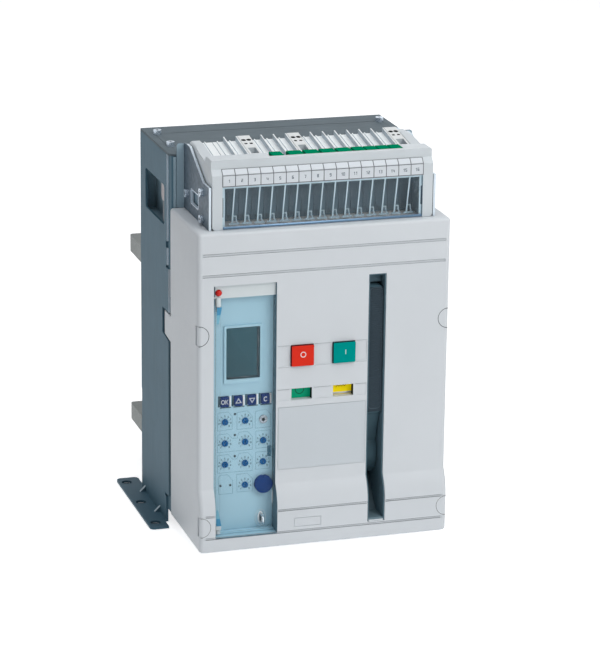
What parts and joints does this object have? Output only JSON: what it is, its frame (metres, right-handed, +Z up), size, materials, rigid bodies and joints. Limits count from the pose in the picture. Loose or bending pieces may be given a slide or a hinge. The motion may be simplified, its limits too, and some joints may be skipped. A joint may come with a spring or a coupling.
{
  "type": "air circuit breaker",
  "caption": "Three-pole air circuit breaker on side feet, with a moulded front, charging handle, protection unit under a hinged clear cover, and a terminal block on top.",
  "frame": {"origin": "centre of the foot bolt pattern, on the surface the feet stand on", "axes": "+Z up, front towards -Y, power terminals towards +Y, +X to the right seen from the front"},
  "size_m": [0.248, 0.271, 0.3388],
  "materials": {
    "plate_steel": "zinc-plated sheet, slightly matt",
    "screw_zinc": "bright zinc plating",
    "casing_dark": "glass-filled moulding",
    "casing_beige": "moulded insulation",
    "tinned_copper": "tin-plated copper bar, satin",
    "copper": "bare copper",
    "chute_grey": "arc-resistant moulding",
    "splitter_steel": "plain steel sheet",
    "core_resin": "cast resin",
    "cheek_steel": "zinc-plated plate",
    "mech_steel": "turned and plated steel",
    "spring_steel": "oiled spring wire",
    "cover_grey": "fine-textured light grey moulding",
    "well_slate": "fine-textured slate moulding",
    "handle_slate": "fine-textured slate moulding",
    "unit_white": "smooth light moulding",
    "fascia_blue": "printed film",
    "lcd_teal": "dark display window",
    "socket_grey": "moulded",
    "seal_steel": "bright wire",
    "bracket_zinc": "galvanised sheet",
    "block_white": "smooth pale moulding",
    "plug_white": "smooth white moulding",
    "tray_slate": "slate paint",
    "connector_green": "moulded",
    "clear_plastic": "clear moulding",
    "clear_blue": "clear, faintly blue moulding",
    "carrier_resin": "thermoset moulding",
    "button_red": "smooth moulding",
    "button_green": "smooth moulding",
    "flag_green": "printed flag",
    "flag_yellow": "printed flag",
    "reset_red": "smooth moulding",
    "key_navy": "smooth moulding",
    "dial_blue": "smooth moulding"
  },
  "bodies": {
    "frame": {"left_side_plate": "plate_steel", "right_side_plate": "plate_steel", "top_plate": "plate_steel", "frame_screws": "screw_zinc", "pole_casing": "casing_dark", "pole_front_casing": "casing_beige", "upper_terminals": "tinned_copper", "lower_terminals": "tinned_copper", "fixed_contacts": "copper", "contact_pivots": "mech_steel", "contact_braids": "copper", "arc_chutes": "chute_grey", "splitter_plates": "splitter_steel", "current_transformers": "core_resin", "mechanism_cheeks": "cheek_steel", "spring_guides": "mech_steel", "closing_springs": "spring_steel", "front_cover": "cover_grey", "cover_plugs": "cover_grey", "handle_well": "well_slate", "unit_case": "unit_white", "unit_fascia": "fascia_blue", "lcd_display": "lcd_teal", "test_socket": "socket_grey", "seal_loop": "seal_steel", "terminal_brackets": "bracket_zinc", "terminal_housing": "block_white", "terminal_tray": "tray_slate", "terminal_modules": "block_white", "terminal_plugs": "plug_white", "green_connectors": "connector_green", "channel_dividers": "clear_plastic", "terminal_cover": "clear_plastic"},
    "pole_shaft": {"pole_shaft": "mech_steel"},
    "contacts": {"moving_contacts": "copper", "contact_carriers": "carrier_resin"},
    "drive_links": {"drive_links": "mech_steel"},
    "charging_shaft": {"charging_shaft": "mech_steel"},
    "spring_yoke": {"spring_yoke": "mech_steel"},
    "charge_handle": {"charge_handle": "handle_slate"},
    "off_button": {"off_button": "button_red"},
    "on_button": {"on_button": "button_green"},
    "status_flag": {"status_flag": "flag_green"},
    "charge_flag": {"charge_flag": "flag_yellow"},
    "reset_button": {"reset_button": "reset_red"},
    "unit_cover": {"unit_cover": "clear_blue"},
    "lock_knob": {"lock_knob": "key_navy"},
    "key_ok": {"key_ok": "key_navy"},
    "key_up": {"key_up": "key_navy"},
    "key_down": {"key_down": "key_navy"},
    "key_clear": {"key_clear": "key_navy"},
    "dial_1": {"dial_1": "dial_blue"},
    "dial_2": {"dial_2": "dial_blue"},
    "dial_3": {"dial_3": "dial_blue"},
    "dial_4": {"dial_4": "dial_blue"},
    "dial_5": {"dial_5": "dial_blue"},
    "dial_6": {"dial_6": "dial_blue"},
    "dial_7": {"dial_7": "dial_blue"},
    "dial_8": {"dial_8": "dial_blue"},
    "dial_9": {"dial_9": "dial_blue"}
  },
  "joints": [
    {"name": "pole_shaft_turn", "type": "hinge", "parent": "frame", "child": "pole_shaft", "pos_m": [0, -0.046, 0.118], "axis": [-1, 0, 0], "range_deg": [0, 20], "stiffness_Nm_per_rad": 6, "springref_deg": -28.65},
    {"name": "contacts_swing", "type": "hinge", "parent": "frame", "child": "contacts", "pos_m": [0, 0.014, 0.094], "axis": [-1, 0, 0], "range_deg": [0, 20]},
    {"name": "link_turn", "type": "hinge", "parent": "pole_shaft", "child": "drive_links", "pos_m": [0, -0.07706, 0.14926], "axis": [-1, 0, 0], "range_deg": [-20, 0]},
    {"name": "status_drop", "type": "slide", "parent": "frame", "child": "status_flag", "axis": [0, 0, 1], "range_m": [-0.012, 0]},
    {"name": "charging_turn", "type": "hinge", "parent": "frame", "child": "charging_shaft", "pos_m": [0, -0.115, 0.078], "axis": [1, 0, 0], "range_deg": [0, 170]},
    {"name": "yoke_slide", "type": "slide", "parent": "frame", "child": "spring_yoke", "axis": [0, 0, 1], "range_m": [-0.016, 0], "deforming": ["closing_springs"]},
    {"name": "charge_flag_drop", "type": "slide", "parent": "frame", "child": "charge_flag", "axis": [0, 0, 1], "range_m": [-0.012, 0]},
    {"name": "handle_pull", "type": "hinge", "parent": "frame", "child": "charge_handle", "pos_m": [0.0445, -0.115, 0.078], "axis": [1, 0, 0], "range_deg": [0, 95], "stiffness_Nm_per_rad": 0.6, "springref_deg": -34.38},
    {"name": "off_press", "type": "slide", "parent": "frame", "child": "off_button", "axis": [0, 1, 0], "range_m": [0, 0.004], "stiffness_N_per_m": 300, "springref_m": -0.002},
    {"name": "on_press", "type": "slide", "parent": "frame", "child": "on_button", "axis": [0, 1, 0], "range_m": [0, 0.004], "stiffness_N_per_m": 300, "springref_m": -0.002},
    {"name": "reset_press", "type": "slide", "parent": "frame", "child": "reset_button", "axis": [0, 1, 0], "range_m": [0, 0.0012], "stiffness_N_per_m": 200, "springref_m": -0.001},
    {"name": "unit_cover_swing", "type": "hinge", "parent": "frame", "child": "unit_cover", "pos_m": [-0.0888, -0.1467, 0.122], "axis": [0, 0, -1], "range_deg": [0, 100]},
    {"name": "knob_turn", "type": "hinge", "parent": "frame", "child": "lock_knob", "pos_m": [-0.049, -0.1415, 0.0629], "axis": [0, -1, 0], "range_deg": [0, 90]},
    {"name": "key_ok_press", "type": "slide", "parent": "frame", "child": "key_ok", "axis": [0, 1, 0], "range_m": [0, 0.0008], "stiffness_N_per_m": 250, "springref_m": -0.0006},
    {"name": "key_up_press", "type": "slide", "parent": "frame", "child": "key_up", "axis": [0, 1, 0], "range_m": [0, 0.0008], "stiffness_N_per_m": 250, "springref_m": -0.0006},
    {"name": "key_down_press", "type": "slide", "parent": "frame", "child": "key_down", "axis": [0, 1, 0], "range_m": [0, 0.0008], "stiffness_N_per_m": 250, "springref_m": -0.0006},
    {"name": "key_clear_press", "type": "slide", "parent": "frame", "child": "key_clear", "axis": [0, 1, 0], "range_m": [0, 0.0008], "stiffness_N_per_m": 250, "springref_m": -0.0006},
    {"name": "dial_1_turn", "type": "hinge", "parent": "frame", "child": "dial_1", "pos_m": [-0.0813, -0.1415, 0.1183], "axis": [0, -1, 0], "range_deg": [-135, 135]},
    {"name": "dial_2_turn", "type": "hinge", "parent": "frame", "child": "dial_2", "pos_m": [-0.0642, -0.1415, 0.1183], "axis": [0, -1, 0], "range_deg": [-135, 135]},
    {"name": "dial_3_turn", "type": "hinge", "parent": "frame", "child": "dial_3", "pos_m": [-0.0813, -0.1415, 0.1001], "axis": [0, -1, 0], "range_deg": [-135, 135]},
    {"name": "dial_4_turn", "type": "hinge", "parent": "frame", "child": "dial_4", "pos_m": [-0.0642, -0.1415, 0.1001], "axis": [0, -1, 0], "range_deg": [-135, 135]},
    {"name": "dial_5_turn", "type": "hinge", "parent": "frame", "child": "dial_5", "pos_m": [-0.049, -0.1415, 0.1001], "axis": [0, -1, 0], "range_deg": [-135, 135]},
    {"name": "dial_6_turn", "type": "hinge", "parent": "frame", "child": "dial_6", "pos_m": [-0.0813, -0.1415, 0.0818], "axis": [0, -1, 0], "range_deg": [-135, 135]},
    {"name": "dial_7_turn", "type": "hinge", "parent": "frame", "child": "dial_7", "pos_m": [-0.0642, -0.1415, 0.0818], "axis": [0, -1, 0], "range_deg": [-135, 135]},
    {"name": "dial_8_turn", "type": "hinge", "parent": "frame", "child": "dial_8", "pos_m": [-0.049, -0.1415, 0.0818], "axis": [0, -1, 0], "range_deg": [-135, 135]},
    {"name": "dial_9_turn", "type": "hinge", "parent": "frame", "child": "dial_9", "pos_m": [-0.0642, -0.1415, 0.0629], "axis": [0, -1, 0], "range_deg": [-135, 135]}
  ],
  "couplings": [
    {"joint": "contacts_swing", "follows": "pole_shaft_turn", "ratio": 1},
    {"joint": "link_turn", "follows": "pole_shaft_turn", "ratio": -1},
    {"joint": "status_drop", "follows": "pole_shaft_turn", "m_per_rad": -0.034374},
    {"joint": "yoke_slide", "follows": "charging_turn", "m_per_rad": -0.005392},
    {"joint": "charge_flag_drop", "follows": "charging_turn", "m_per_rad": -0.004044}
  ]
}
